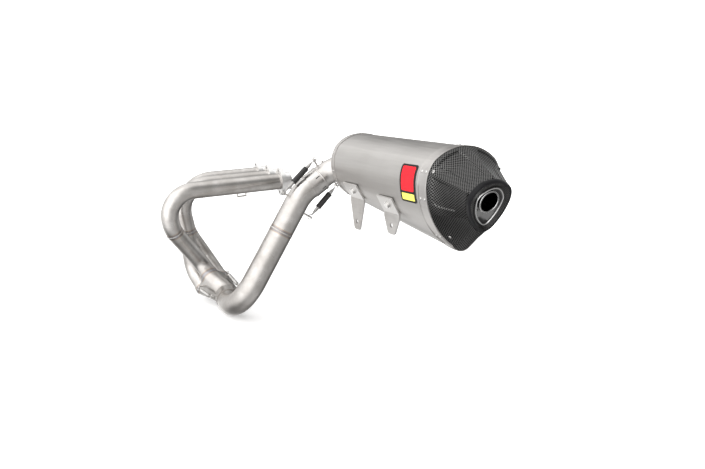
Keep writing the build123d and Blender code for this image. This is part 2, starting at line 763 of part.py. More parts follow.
def save_muffler():
    save("inlet_pipe", pipe(neck_path(), LINK_R))
    save("inlet_cap", inlet_cap())
    save("outer_sleeve", sleeve_shell(INLET_Y, OUTLET_Y, 0, -SLEEVE_T))
    save("muffler_core", core())
    save("sound_packing", packing())
    inlet_band = band(INLET_Y, INLET_Y - BAND_W)
    outlet_band = band(OUTLET_Y + BAND_W, OUTLET_Y) + band(OUTLET_Y, OUTLET_Y - COLLAR_L)
    save("inlet_band", inlet_band)
    save("outlet_band", outlet_band)
    for label, y, under in (
        ("inlet", INLET_Y - BAND_W / 2, inlet_band),
        ("outlet_front", OUTLET_Y + BAND_W / 2, outlet_band),
        ("outlet_rear", OUTLET_Y - BAND_W / 2, outlet_band),
    ):
        heads = studs(y, RIVET_PLACES, BAND_T, RIVET_R, RIVET_H)
        save(f"{label}_rivets", *[head - under for head in heads])
    save("carbon_end_cap", carbon_cap())
    save("cap_screws", *cap_screws())
    save("outlet_plate", outlet_plate())
    save("outlet_liner", liner())
    save("badge_plate", badge())
    for name in BRACKETS:
        save(f"bracket_{name}", bracket(name))
    save("bracket_bolts", *[bracket_bolt(name) for name in BRACKETS])
    save("damper_tube", damper())
    save("damper_screw", damper_screw())


os.makedirs("parts", exist_ok=True)
save_headers()
save_collector_and_link()
save_muffler()
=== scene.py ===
import json
import math

import bpy
import numpy as np
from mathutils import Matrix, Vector
from mathutils.bvhtree import BVHTree
from mathutils.kdtree import KDTree

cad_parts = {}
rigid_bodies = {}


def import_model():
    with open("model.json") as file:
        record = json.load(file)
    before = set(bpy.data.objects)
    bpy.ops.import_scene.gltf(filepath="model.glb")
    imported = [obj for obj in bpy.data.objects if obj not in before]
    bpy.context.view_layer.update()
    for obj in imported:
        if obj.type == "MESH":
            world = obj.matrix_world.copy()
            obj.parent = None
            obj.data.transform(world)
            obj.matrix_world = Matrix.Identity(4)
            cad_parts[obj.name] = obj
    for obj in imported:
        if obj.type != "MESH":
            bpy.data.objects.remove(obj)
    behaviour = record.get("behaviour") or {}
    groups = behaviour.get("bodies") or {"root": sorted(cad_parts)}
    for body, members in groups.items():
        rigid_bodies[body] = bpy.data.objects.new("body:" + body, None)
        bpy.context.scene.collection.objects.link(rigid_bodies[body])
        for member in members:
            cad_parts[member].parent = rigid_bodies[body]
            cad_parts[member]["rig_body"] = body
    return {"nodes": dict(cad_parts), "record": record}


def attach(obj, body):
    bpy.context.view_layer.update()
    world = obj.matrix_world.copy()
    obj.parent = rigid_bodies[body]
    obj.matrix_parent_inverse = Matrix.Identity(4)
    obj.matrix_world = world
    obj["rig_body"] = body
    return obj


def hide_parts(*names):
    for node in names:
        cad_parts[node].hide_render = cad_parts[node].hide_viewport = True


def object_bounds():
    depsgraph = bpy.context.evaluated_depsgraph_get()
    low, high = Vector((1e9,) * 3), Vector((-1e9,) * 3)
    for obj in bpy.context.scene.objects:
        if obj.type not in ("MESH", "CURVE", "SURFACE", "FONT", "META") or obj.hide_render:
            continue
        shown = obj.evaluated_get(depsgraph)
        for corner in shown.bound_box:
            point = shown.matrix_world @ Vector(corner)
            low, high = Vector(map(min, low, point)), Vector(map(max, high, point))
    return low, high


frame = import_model()
CAD_BOX = [list(corner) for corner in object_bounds()]
NODES = frame["nodes"]
MM = 0.001

# The muffler's own axis runs along Y through this place, in metres.
MUFFLER_X, MUFFLER_Z = 0.091, 0.031

# ---------------------------------------------------------------- materials


class Mat:
    """A Principled material and short ways to add nodes to it."""

    def __init__(self, name, **sockets):
        self.mat = bpy.data.materials.new(name)
        self.mat.use_nodes = True
        self.tree = self.mat.node_tree
        self.tree.nodes.clear()
        out = self.tree.nodes.new("ShaderNodeOutputMaterial")
        self.bsdf = self.tree.nodes.new("ShaderNodeBsdfPrincipled")
        self.link(self.bsdf.outputs[0], out.inputs[0])
        for key, value in sockets.items():
            self.bsdf.inputs[key.replace("_", " ")].default_value = value
        self.coord = self.tree.nodes.new("ShaderNodeTexCoord")

    def link(self, a, b):
        self.tree.links.new(a, b)

    def feed(self, socket, value):
        """Links another socket to this one, or sets a plain value."""
        if isinstance(value, bpy.types.NodeSocket):
            self.link(value, socket)
        else:
            socket.default_value = value

    def node(self, kind, **inputs):
        """A new node, with its inputs given by name."""
        made = self.tree.nodes.new(kind)
        for key, value in inputs.items():
            self.feed(made.inputs[key], value)
        return made

    def place(self, scale):
        """The object's own coordinates, scaled along each axis."""
        made = self.node("ShaderNodeMapping", Vector=self.coord.outputs["Object"], Scale=scale)
        return made.outputs[0]

    def noise(self, scale, detail=4.0, rough=0.55, stretch=(1, 1, 1)):
        made = self.node("ShaderNodeTexNoise", Vector=self.place(stretch), Scale=scale, Detail=detail)
        made.inputs["Roughness"].default_value = rough
        return made.outputs["Fac"]

    def ramp(self, fac, stops):
        made = self.node("ShaderNodeValToRGB", Fac=fac)
        elements = made.color_ramp.elements
        while len(elements) < len(stops):
            elements.new(0.5)
        for element, (at, colour) in zip(elements, stops):
            element.position = at
            element.color = (*colour, 1)
        return made.outputs["Color"]

    def span(self, fac, low, high, start=0.3, end=0.7):
        made = self.node("ShaderNodeMapRange", Value=fac)
        for key, value in (("From Min", start), ("From Max", end), ("To Min", low), ("To Max", high)):
            made.inputs[key].default_value = value
        return made.outputs["Result"]

    def operate(self, kind, operation, a, b=None):
        """The outputs of a maths node of one or two inputs."""
        made = self.tree.nodes.new(kind)
        made.operation = operation
        self.feed(made.inputs[0], a)
        if b is not None:
            self.feed(made.inputs[1], b)
        return made.outputs

    def math(self, operation, a, b=None):
        return self.operate("ShaderNodeMath", operation, a, b)[0]

    def vector(self, operation, a, b=None):
        return self.operate("ShaderNodeVectorMath", operation, a, b)

    def mix(self, fac, a, b):
        made = self.tree.nodes.new("ShaderNodeMix")
        made.data_type = "RGBA"
        self.feed(made.inputs[0], fac)
        for socket, colour in ((made.inputs[6], a), (made.inputs[7], b)):
            self.feed(socket, colour if isinstance(colour, bpy.types.NodeSocket) else (*colour, 1))
        return made.outputs[2]

    def bump(self, height, distance, strength=1.0):
        made = self.node("ShaderNodeBump", Height=height, Distance=distance, Strength=strength)
        self.link(made.outputs[0], self.bsdf.inputs["Normal"])

    def colour(self, socket):
        self.link(socket, self.bsdf.inputs["Base Color"])

    def rough(self, socket):
        self.link(socket, self.bsdf.inputs["Roughness"])


def metal(name, dark, light, rough, grain=(1, 1, 1), grain_scale=900.0, patch=30.0):
    """A metal with patchy tone, a fine directional grain and uneven gloss."""
    m = Mat(name, Metallic=1.0)
    tone = m.noise(patch, 5.0)
    fine = m.noise(grain_scale, 3.0, 0.6, grain)
    both = m.math("ADD", m.math("MULTIPLY", tone, 0.62), m.math("MULTIPLY", fine, 0.38))
    m.colour(m.ramp(both, [(0.3, dark), (0.7, light)]))
    m.rough(m.span(both, *rough))
    m.bump(fine, 0.00002, 0.6)
    return m.mat


# How far from a seam the heat tint is full, and how far it reaches, in metres.
HEAT_FULL, HEAT_END = 0.0012, 0.0085


def heat(m, seams):
    """How near a point is to a weld: one on a seam, falling to nought a few millimetres away."""
    total = None
    for centre, axis, radius in seams:
        offset = m.vector("SUBTRACT", m.coord.outputs["Object"], centre)[0]
        along = m.vector("DOT_PRODUCT", offset, axis)["Value"]
        far = m.vector("LENGTH", offset)["Value"]
        near = m.span(m.math("ABSOLUTE", along), 1.0, 0.0, HEAT_FULL, HEAT_END)
        part = m.math("MULTIPLY", near, m.math("LESS_THAN", far, radius * 1.25))
        total = part if total is None else m.math("MAXIMUM", total, part)
    return total


def tube_titanium(seams):
    """Satin titanium tube: warm grey patches, fine scratches and heat tint at the welds."""
    m = Mat("titanium_tube", Metallic=1.0)
    patch = m.noise(14.0, 6.0, 0.6)
    cloud = m.noise(60.0, 5.0)
    fine = m.noise(1400.0, 3.0, 0.6)
    greys = [
        (0.3, (0.44, 0.417, 0.395)),
        (0.52, (0.61, 0.59, 0.572)),
        (0.72, (0.76, 0.742, 0.727)),
    ]
    base = m.mix(m.span(cloud, 0.0, 0.5, 0.4, 0.7), m.ramp(patch, greys), (0.43, 0.408, 0.387))
    tint = heat(m, seams)
    wave = m.math("ADD", tint, m.math("MULTIPLY", m.math("SUBTRACT", cloud, 0.5), 0.5))
    straw_to_blue = [
        (0.05, (0.60, 0.56, 0.50)),
        (0.45, (0.40, 0.31, 0.24)),
        (0.75, (0.26, 0.24, 0.27)),
        (1.0, (0.36, 0.36, 0.38)),
    ]
    shade = m.ramp(wave, straw_to_blue)
    m.colour(m.mix(m.math("MULTIPLY", m.span(tint, 0.0, 1.0, 0.0, 0.35), 0.75), base, shade))
    gloss = m.math("ADD", m.math("MULTIPLY", cloud, 0.6), m.math("MULTIPLY", fine, 0.4))
    m.rough(m.span(gloss, 0.25, 0.38))
    m.bump(fine, 0.000012, 0.6)
    return m.mat


def sleeve_titanium():
    """Bead-blasted sheet with faint streaks along the muffler."""
    m = Mat("titanium_sleeve", Metallic=1.0)
    patch = m.noise(9.0, 4.0)
    streak = m.noise(260.0, 4.0, 0.6, (1, 0.03, 1))
    both = m.math("ADD", m.math("MULTIPLY", patch, 0.5), m.math("MULTIPLY", streak, 0.5))
    m.colour(m.ramp(both, [(0.3, (0.50, 0.485, 0.47)), (0.7, (0.60, 0.585, 0.57))]))
    m.rough(m.span(streak, 0.33, 0.43))
    m.bump(streak, 0.00001, 0.4)
    return m.mat


TOWS_PER_METRE = 440.0


def carbon():
    """A tight weave under clear coat, laid out on the piece's own UV map; the weave is real, while the
    over tows' lighter colour and the under tows' near-black colour are painted sheen.
    """
    m = Mat("carbon_fibre", Coat_Weight=0.08, Coat_Roughness=0.14, Metallic=0.95)
    parts = m.node("ShaderNodeSeparateXYZ", Vector=m.coord.outputs["UV"])
    u = m.math("MULTIPLY", parts.outputs[0], TOWS_PER_METRE)
    v = m.math("MULTIPLY", parts.outputs[1], TOWS_PER_METRE)
    step = m.math("ADD", m.math("FLOOR", u), m.math("FLOOR", v))
    over = m.math("LESS_THAN", m.math("FLOORED_MODULO", step, 2.0), 0.5)
    wave_u = m.math("SINE", m.math("MULTIPLY", m.math("FRACT", u), math.pi))
    wave_v = m.math("SINE", m.math("MULTIPLY", m.math("FRACT", v), math.pi))
    under = m.math("SUBTRACT", 1.0, over)
    height = m.math("ADD", m.math("MULTIPLY", over, wave_u), m.math("MULTIPLY", under, wave_v))
    strand = m.noise(2600.0, 2.0)
    # Painted sheen: over tows are coloured lighter and under tows near black, standing in for how the
    # same tows reflect differently by direction.
    light = m.mix(m.span(strand, 0.2, 1.0), (0.055, 0.055, 0.056), (0.175, 0.173, 0.17))
    dark = m.mix(m.span(strand, 0.2, 1.0), (0.002, 0.002, 0.0022), (0.006, 0.006, 0.0065))
    m.colour(m.mix(over, dark, light))
    m.rough(m.span(over, 0.42, 0.28, 0.0, 1.0))
    m.bump(height, 0.00012, 0.5)
    return m.mat


def rubber():
    m = Mat("black_rubber", Coat_Weight=0.05)
    fine = m.noise(1500.0, 4.0)
    m.colour(m.ramp(fine, [(0.3, (0.008, 0.008, 0.008)), (0.7, (0.022, 0.021, 0.02))]))
    m.rough(m.span(fine, 0.42, 0.6))
    m.bump(fine, 0.00004, 0.6)
    return m.mat


def wool():
    m = Mat("glass_wool", Roughness=0.95)
    fine = m.noise(400.0, 8.0, 0.7, (1, 0.2, 1))
    m.colour(m.ramp(fine, [(0.3, (0.55, 0.5, 0.38)), (0.7, (0.85, 0.82, 0.7))]))
    m.bump(fine, 0.0008)
    return m.mat


def weld():
    """Weld metal: ripple colour from straw to faint blue."""
    m = Mat("weld_bead", Metallic=1.0)
    patch = m.noise(120.0, 4.0)
    fine = m.noise(1200.0, 3.0)
    straw, pale, blue = (0.50, 0.45, 0.37), (0.62, 0.60, 0.57), (0.44, 0.45, 0.50)
    m.colour(m.ramp(patch, [(0.3, straw), (0.5, pale), (0.68, blue)]))
    m.rough(m.span(fine, 0.22, 0.36))
    m.bump(fine, 0.00003, 0.5)
    return m.mat


def gloss_paint(name, dark, light):
    m = Mat(name, Specular_IOR_Level=0.12)
    fine = m.noise(900.0, 4.0)
    m.colour(m.ramp(fine, [(0.3, dark), (0.7, light)]))
    m.rough(m.span(fine, 0.34, 0.42))
    m.bump(fine, 0.00001, 0.4)
    return m.mat


# ---------------------------------------------------------------- seams, then every material


def coords(node):
    return np.array([v.co for v in NODES[node].data.vertices], float).reshape(-1, 3)


# Points of two tubes nearer than this, in metres, are on the seam between them.
SEAM_REACH = 0.0004


def seam_circle(a, b):
    """Centre, axis and radius of the circle where two round tubes meet."""
    other = coords(b)
    tree = KDTree(len(other))
    for i, c in enumerate(other):
        tree.insert(c, i)
    tree.balance()
    shared = np.array([c for c in coords(a) if tree.find(c)[2] < SEAM_REACH])
    middle = shared.mean(0)
    _, _, directions = np.linalg.svd(shared - middle, full_matrices=False)
    flat = (shared - middle) @ directions[:2].T
    system = np.column_stack([2 * flat, np.ones(len(flat))])
    fit = np.linalg.lstsq(system, (flat ** 2).sum(1), rcond=None)[0]
    centre = middle + directions[:2].T @ fit[:2]
    radius = float(np.linalg.norm(shared - centre, axis=1).max())
    return Vector(centre), Vector(directions[2]).normalized(), radius


# Each bead: the two nodes that meet at it, and the body it rides with.
SEAM_PAIRS = {
    "header_seam_bead_front": ("header_upper_front", "header_lower_front", "headers"),
    "header_seam_bead_middle": ("header_upper_middle", "header_lower_middle", "headers"),
    "header_seam_bead_rear": ("header_upper_rear", "header_lower_rear", "headers"),
    "link_seam_bead": ("link_pipe_upper", "link_pipe_lower", "link_pipe"),
    "inlet_cup_bead_front": ("inlet_cup_front", "header_lower_front", "headers"),
    "inlet_cup_bead_middle": ("inlet_cup_middle", "header_lower_middle", "headers"),
    "inlet_cup_bead_rear": ("inlet_cup_rear", "header_lower_rear", "headers"),
}
SEAMS = {name: seam_circle(a, b) for name, (a, b, _) in SEAM_PAIRS.items()}

SATIN, BRIGHT = (0.3, 0.42), (0.2, 0.32)
ROLLED, ROLLED_SCALE = (1, 0.05, 1), 300.0
MATS = {
    "machined_titanium": metal(
        "machined_titanium", (0.88, 0.87, 0.86), (0.98, 0.975, 0.97), SATIN, (1, 8, 8)),
    "titanium_tube": tube_titanium(SEAMS.values()),
    "titanium_sleeve": sleeve_titanium(),
    "titanium_rod": metal("titanium_rod", (0.55, 0.53, 0.51), (0.72, 0.70, 0.68), BRIGHT),
    "titanium_sheet": metal(
        "titanium_sheet", (0.52, 0.50, 0.485), (0.64, 0.625, 0.61), SATIN, ROLLED, ROLLED_SCALE),
    "spring_steel": metal("spring_steel", (0.50, 0.49, 0.48), (0.74, 0.73, 0.72), BRIGHT),
    "black_rubber": rubber(),
    "fastener_steel": metal("fastener_steel", (0.62, 0.61, 0.60), (0.82, 0.81, 0.80), (0.2, 0.3)),
    "carbon_fibre": carbon(),
    "polished_steel": metal(
        "polished_steel", (0.24, 0.24, 0.24), (0.36, 0.36, 0.36), (0.10, 0.2), patch=20.0),
    "glass_wool": wool(),
    "badge_black": gloss_paint("badge_black", (0.012, 0.012, 0.012), (0.02, 0.02, 0.02)),
}
WELD = weld()
# A near-black metal laid as painted shade in the cup's slits.
SHADOW_METAL = metal("shadow_metal", (0.02, 0.02, 0.02), (0.05, 0.048, 0.046), (0.5, 0.7))
# Near-white steel as a painted highlight on the rolled edges, far brighter than the polished steel of
# the liner and damper they belong to.
HIGHLIGHT_STEEL = metal("painted_highlight_steel", (0.90, 0.90, 0.90), (0.98, 0.98, 0.98), (0.16, 0.28))
BADGE_RED = gloss_paint("badge_red", (0.72, 0.012, 0.022), (0.84, 0.02, 0.03))
BADGE_YELLOW = gloss_paint("badge_yellow", (0.80, 0.75, 0.10), (0.90, 0.84, 0.16))
CARBON_DARK = gloss_paint("carbon_edge", (0.006, 0.006, 0.007), (0.014, 0.014, 0.015))
BRACKET_SHEET = metal(
    "bracket_sheet", (0.62, 0.605, 0.59), (0.78, 0.765, 0.75), SATIN, ROLLED, ROLLED_SCALE)

SLOT_OF = {s["node"]: s["material_slot"] for s in frame["record"]["subparts"]}
for node_name, node_object in NODES.items():
    node_object.data.materials.clear()
    plate = node_name in ("bracket_front", "bracket_rear")
    node_object.data.materials.append(BRACKET_SHEET if plate else MATS[SLOT_OF[node_name]])


# ---------------------------------------------------------------- mesh helpers


def body_of(node):
    return NODES[node]["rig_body"]


def make_mesh(name, verts, faces, material, body, smooth=True, uvs=None):
    """A mesh piece with its material, riding with a body; uvs holds one place for each vertex."""
    mesh = bpy.data.meshes.new(name)
    mesh.from_pydata([tuple(v) for v in verts], [], faces)
    if uvs is not None:
        layer = mesh.uv_layers.new(name="UVMap")
        for loop in mesh.loops:
            layer.data[loop.index].uv = uvs[loop.vertex_index]
    if smooth:
        mesh.polygons.foreach_set("use_smooth", [True] * len(mesh.polygons))
    mesh.validate()
    mesh.update()
    piece = bpy.data.objects.new(name, mesh)
    bpy.context.scene.collection.objects.link(piece)
    mesh.materials.append(material)
    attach(piece, body)
    return piece


def ring_faces(rings, sides, closed=False):
    """Faces between neighbouring rings of points; closed joins the last ring to the first."""
    faces = []
    for i in range(rings if closed else rings - 1):
        j = (i + 1) % rings
        for k in range(sides):
            m = (k + 1) % sides
            faces.append((i * sides + k, i * sides + m, j * sides + m, j * sides + k))
    return faces


def grid_faces(rows, cols):
    """Faces of an open grid of rows by cols points."""
    faces = []
    for i in range(rows - 1):
        for k in range(cols - 1):
            faces.append((i * cols + k, i * cols + k + 1, (i + 1) * cols + k + 1, (i + 1) * cols + k))
    return faces


def square_to(axis):
    """Two directions square to an axis and to each other."""
    n = axis.orthogonal().normalized()
    return n, axis.cross(n)


def turned(n, b, turn):
    """The direction at an angle round the axis that n and b are square to."""
    return n * math.cos(turn) + b * math.sin(turn)


def frames_along(points):
    """A tangent and a steady normal at each point of a line."""
    tangents = []
    for i in range(len(points)):
        a, b = points[max(0, i - 1)], points[min(len(points) - 1, i + 1)]
        tangents.append((b - a).normalized())
    normal = tangents[0].orthogonal().normalized()
    out = []
    for t in tangents:
        normal = (normal - t * normal.dot(t)).normalized()
        out.append((t, normal))
    return out


def tube(points, radius, sides=8, closed=False):
    """Vertices and faces of a round tube on a line; an open one has flat ends."""
    verts = []
    for p, (t, n) in zip(points, frames_along(points)):
        b = t.cross(n)
        for k in range(sides):
            verts.append(p + turned(n, b, 2 * math.pi * k / sides) * radius)
    rings = len(points)
    faces = ring_faces(rings, sides, closed)
    if not closed:
        faces.append(tuple(reversed(range(sides))))
        faces.append(tuple(range((rings - 1) * sides, rings * sides)))
    return verts, faces


def merge_parts(parts):
    """Several (vertices, faces) pairs as one."""
    verts, faces = [], []
    for v, f in parts:
        start = len(verts)
        verts += v
        faces += [tuple(i + start for i in face) for face in f]
    return verts, faces


def lathe(origin, axis, profile, sides=40):
    """A turned shape from (distance along axis, radius) pairs."""
    axis = axis.normalized()
    n, b = square_to(axis)
    verts = []
    for along, r in profile:
        for k in range(sides):
            turn = 2 * math.pi * k / sides
            verts.append(origin + axis * along + turned(n, b, turn) * max(r, 1e-6))
    return verts, ring_faces(len(profile), sides)


def islands(node):
    """The separate solids of a node, each as an array of its points."""
    co = coords(node)
    keys = {}
    index = np.zeros(len(co), int)
    for i, c in enumerate(np.round(co, 6)):
        index[i] = keys.setdefault(tuple(c), len(keys))
    parent = list(range(len(keys)))

    def find(i):
        while parent[i] != i:
            parent[i] = parent[parent[i]]
            i = parent[i]
        return i

    for edge in NODES[node].data.edges:
        a, b = find(index[edge.vertices[0]]), find(index[edge.vertices[1]])
        if a != b:
            parent[a] = b
    roots = np.array([find(index[i]) for i in range(len(co))])
    return [co[roots == r] for r in sorted(set(roots))]


def surface(mesh):
    """A mesh as a skin that rays can be cast on."""
    corners = [v.co.copy() for v in mesh.vertices]
    return BVHTree.FromPolygons(corners, [tuple(p.vertices) for p in mesh.polygons])


def ease(low, high, x):
    """Nought at low and one at high, with a smooth rise between."""
    t = min(1.0, max(0.0, (x - low) / (high - low)))
    return t * t * (3 - 2 * t)


def principal(points):
    """The middle of some points and their main directions, the longest last."""
    centre = points.mean(0)
    _, vectors = np.linalg.eigh(np.cov((points - centre).T))
    return centre, vectors


# ---------------------------------------------------------------- springs
WIRE_R = 0.9 * MM
COIL_PITCH = 2.15 * WIRE_R
END_ZONE = 7 * MM
COIL_CLEAR = 1.2 * MM
TAPER = 2 * MM
LOOP_SWEEP, LOOP_STEPS = 320, 20
STEPS_PER_TURN = 14


def spring_facts(points):
    """Loop centres, the loops' axis, the coil's radius, a loop's radius and the coil's ends."""
    centre, vectors = principal(points)
    line = vectors[:, 2]
    along = (points - centre) @ line
    ends = [points[along < along.min() + END_ZONE], points[along > along.max() - END_ZONE]]
    loop_axis = np.linalg.svd(ends[0] - ends[0].mean(0))[2][2]
    for _ in range(2):
        loop_axis = loop_axis - line * (loop_axis @ line)
        loop_axis /= np.linalg.norm(loop_axis)
        wide = np.cross(line, loop_axis)
        spots = []
        for end in ends:
            across = (end - centre) @ wide
            depth = (end - centre) @ loop_axis
            sideways = wide * (across.min() + across.max()) / 2
            spots.append(centre + sideways + loop_axis * (depth.min() + depth.max()) / 2)
        loop_r = (across.max() - across.min()) / 2 - WIRE_R
        along = (points - centre) @ line
        a = spots[0] + line * (along.min() + loop_r + WIRE_R - (spots[0] - centre) @ line)
        b = spots[1] + line * (along.max() - loop_r - WIRE_R - (spots[1] - centre) @ line)
        line = (b - a) / np.linalg.norm(b - a)
        centre = (a + b) / 2
    along = (points - a) @ line
    outer = np.linalg.norm((points - a) - np.outer(along, line), axis=1)
    inside = (along > loop_r + 1.5 * MM) & (along < np.linalg.norm(b - a) - loop_r - 1.5 * MM)
    radius = outer[inside].max()
    coil = along[inside & (outer > radius - 0.05 * MM)]
    return Vector(a), Vector(b), Vector(loop_axis), radius, loop_r, (coil.min(), coil.max())


def spring_line(a, b, loop_axis, coil_r, loop_r, coil):
    """One wire: a hook loop, a tapering close-wound coil and the other hook loop."""
    line = (b - a).normalized()
    side = line.cross(loop_axis).normalized()
    mean_r = coil_r - WIRE_R
    points = []
    for k in range(LOOP_STEPS + 1):
        turn = math.radians(-140 + LOOP_SWEEP * k / LOOP_STEPS)
        points.append(a + (side * math.sin(turn) - line * math.cos(turn)) * loop_r)
    start, end = loop_r + COIL_CLEAR, (b - a).length - loop_r - COIL_CLEAR
    steps = max(4, round((end - start) / COIL_PITCH)) * STEPS_PER_TURN
    taper_in = max(coil[0] + TAPER - start, MM)
    taper_out = max(end - coil[1] + TAPER, MM)
    for k in range(steps + 1):
        turn = 2 * math.pi * k / STEPS_PER_TURN
        along = start + (end - start) * (k / steps)
        rise = min((along - start) / taper_in, (end - along) / taper_out, 1.0)
        r = mean_r * (0.32 + 0.68 * ease(0.0, 1.0, rise))
        spot = a + line * along
        points.append(spot + turned(side, loop_axis, turn) * r)
    for k in range(LOOP_STEPS + 1):
        turn = math.radians(180 - LOOP_SWEEP * k / LOOP_STEPS)
        points.append(b + (side * math.sin(turn) + line * math.cos(turn)) * loop_r)
    return points


def build_springs():
    for node in sorted(n for n in NODES if "spring" in n and "hook" not in n):
        wires = [tube(spring_line(*spring_facts(points)), WIRE_R) for points in islands(node)]
        verts, faces = merge_parts(wires)
        piece = make_mesh(f"{node}_wire", verts, faces, MATS["spring_steel"], body_of(node))
        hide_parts(node)


build_springs()


# ---------------------------------------------------------------- rubber sleeves
RIB_COUNT = 9
RIB_HEIGHT = 0.12 * MM
RIB_STEPS = 60


def build_rubbers():
    """A moulded sleeve with rounded ends and shallow ribs."""
    for node in sorted(n for n in NODES if n.startswith("rubber_sleeve")):
        points = coords(node)
        centre, vectors = principal(points)
        line = vectors[:, 2]
        along = (points - centre) @ line
        low, high = along.min(), along.max()
        radial = np.linalg.norm((points - centre) - np.outer(along, line), axis=1)
        outer, inner = radial.max(), radial.min()
        length = high - low
        edge, shoulder = outer - 0.6 * MM, outer - 0.1 * MM
        profile = [(0, inner), (0, edge), (0.5 * MM, shoulder)]
        for k in range(RIB_STEPS + 1):
            s = k / RIB_STEPS
            rib = RIB_HEIGHT * math.cos(2 * math.pi * s * RIB_COUNT)
            profile.append((0.8 * MM + (length - 1.6 * MM) * s, outer - 0.15 * MM + rib))
        profile += [(length - 0.5 * MM, shoulder), (length, edge), (length, inner), (0, inner)]
        verts, faces = lathe(Vector(centre) + Vector(line) * low, Vector(line), profile, 32)
        rubber_look = MATS["black_rubber"]
        piece = make_mesh(f"{node}_moulding", verts, faces, rubber_look, body_of(node))
        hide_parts(node)


build_rubbers()


# ---------------------------------------------------------------- weld beads
BEAD_HALF_WIDTH = 1.9 * MM
BEAD_HEIGHT = 0.8 * MM
BEAD_SIDES = 8
RIPPLE_PITCH = 1.5 * MM
RIPPLE_STEPS = 6


def bead(centre, axis, radius):
    """A weld bead of overlapping ripples round a seam."""
    n, b = square_to(axis)
    steps = round(2 * math.pi * radius / RIPPLE_PITCH) * RIPPLE_STEPS
    verts = []
    for i in range(steps):
        swell = 0.75 + 0.25 * math.sin(math.pi * ((i % RIPPLE_STEPS) / RIPPLE_STEPS))
        out = turned(n, b, 2 * math.pi * i / steps)
        for k in range(BEAD_SIDES):
            w = 2 * math.pi * k / BEAD_SIDES
            lean = axis * math.cos(w) * BEAD_HALF_WIDTH * swell
            verts.append(centre + out * (radius + math.sin(w) * BEAD_HEIGHT * swell) + lean)
    return verts, ring_faces(steps, BEAD_SIDES, closed=True)


def build_beads():
    for name, (_, _, body) in SEAM_PAIRS.items():
        verts, faces = bead(*SEAMS[name])
        make_mesh(name, verts, faces, WELD, body)


build_beads()

# ---------------------------------------------------------------- carbon end cap
# The cap's places and sizes are millimetres. Each outline is six arcs: their corners, and a point
# that each arc passes through.
BASE_CENTRE = (91.0, 31.0)
BASE_CORNERS = [(-57, 62), (57, 62), (71, 26), (19, -72), (-19, -72), (-71, 26)]
BASE_VIAS = [(0, 83), (67, 46), (57, -30), (0, -83), (-57, -30), (-67, 46)]
COLLAR_FROM, COLLAR_TO = -665.3, -677.0
RIM_CORNERS = [(-42, 42), (12, 38), (40, 6), (34, -42), (8, -50), (-50, 4)]
RIM_VIAS = [(-15, 46), (31, 25), (41, -18), (22, -52), (-26, -26), (-53, 29)]
LINER_CORNERS = [(-24, 23), (4, 27), (26, 9), (24, -33), (9, -38), (-31, 8)]
LINER_VIAS = [(-11.5, 28.6), (17, 19), (29, -8), (18, -39.5), (-13, -21), (-30.5, 16.5)]
RIM_AT = Vector((87, -747, 30))
PITCH, YAW = math.radians(30), math.radians(11)
RIM_OUT = Vector((
    math.sin(YAW) * math.cos(PITCH), -math.cos(YAW) * math.cos(PITCH), -math.sin(PITCH)))
RIM_X = Vector((math.cos(YAW), math.sin(YAW), 0))
RIM_Y = RIM_OUT.cross(RIM_X)


def on_arc(a, via, b, t):
    """The point at share t of the arc through three plane points."""
    a, via, b = Vector(a), Vector(via), Vector(b)
    d = 2 * (a.x * (via.y - b.y) + via.x * (b.y - a.y) + b.x * (a.y - via.y))
    sa, sv, sb = a.length_squared, via.length_squared, b.length_squared
    cx = (sa * (via.y - b.y) + sv * (b.y - a.y) + sb * (a.y - via.y)) / d
    cy = (sa * (b.x - via.x) + sv * (a.x - b.x) + sb * (via.x - a.x)) / d
    c = Vector((cx, cy))
    start = math.atan2(a.y - cy, a.x - cx)
    middle = (math.atan2(via.y - cy, via.x - cx) - start) % (2 * math.pi)
    end = (math.atan2(b.y - cy, b.x - cx) - start) % (2 * math.pi)
    if middle > end:
        end -= 2 * math.pi
    turn = start + end * t
    return c + Vector((math.cos(turn), math.sin(turn))) * (a - c).length


def outline(corners, vias, g):
    """A plane outline's point at place g, where the whole part of g counts arcs."""
    i = int(math.floor(g)) % 6
    return on_arc(corners[i], vias[i], corners[(i + 1) % 6], g - math.floor(g))


def base_point(g, y):
    """A point of the cap's outline at its sleeve end."""
    p = outline(BASE_CORNERS, BASE_VIAS, g)
    return Vector((BASE_CENTRE[0] + p.x, y, BASE_CENTRE[1] + p.y))


def rim_point(g, back, grow=0.0, corners=RIM_CORNERS, vias=RIM_VIAS):
    """A point of the rim's outline, set back from the rim's plane and grown outwards."""
    p = outline(corners, vias, g)
    p = p * ((p.length + grow) / p.length)
    return RIM_AT - RIM_OUT * back + RIM_X * p.x + RIM_Y * p.y


def liner_point(g, back, grow):
    """The same for the smaller outline of the liner inside the rim."""
    return rim_point(g, back, grow, LINER_CORNERS, LINER_VIAS)


# The cap has seven facets between creases, which are places on the outlines. FLAT is how flat
# each one is at the rim. A recessed panel's sides and ends in PANELS, the width of its slope in
# PANEL_EDGE and the start of the lip are shares of the facet.
CREASES = [-0.5, 0.5, 1.5, 2.4, 3.0, 4.0, 4.6, 5.5]
FLAT = [0.95, 0.95, 0.8, 0.4, 0.3, 0.4, 0.8]
PANELS = {
    0: (0.30, 0.84, 0.07, 0.72),
    1: (0.16, 0.70, 0.07, 0.72),
    2: (0.1, 0.8, 0.1, 0.62),
    6: (0.2, 0.9, 0.1, 0.62),
}
PANEL_EDGE, LIP_START = 0.013, 0.9
PANEL_DEPTH, WAIST_DEPTH = 2.2, 1.6
FACET_COLS, FACET_ROWS = 84, 100
RIM_STEPS = 160
# The lip's section: (distance back from the rim's plane, growth of the rim's outline).
LIP_SECTION = [
    (8.5, -1.2), (7.0, 0.3), (5.5, 0.9), (3.0, 0.6), (1.0, 0.1), (0.2, -0.9), (0.0, -2.0),
    (0.3, -3.2), (1.0, -4.0)]
FUNNEL_DEPTH, FUNNEL_STEPS = 7.0, 12


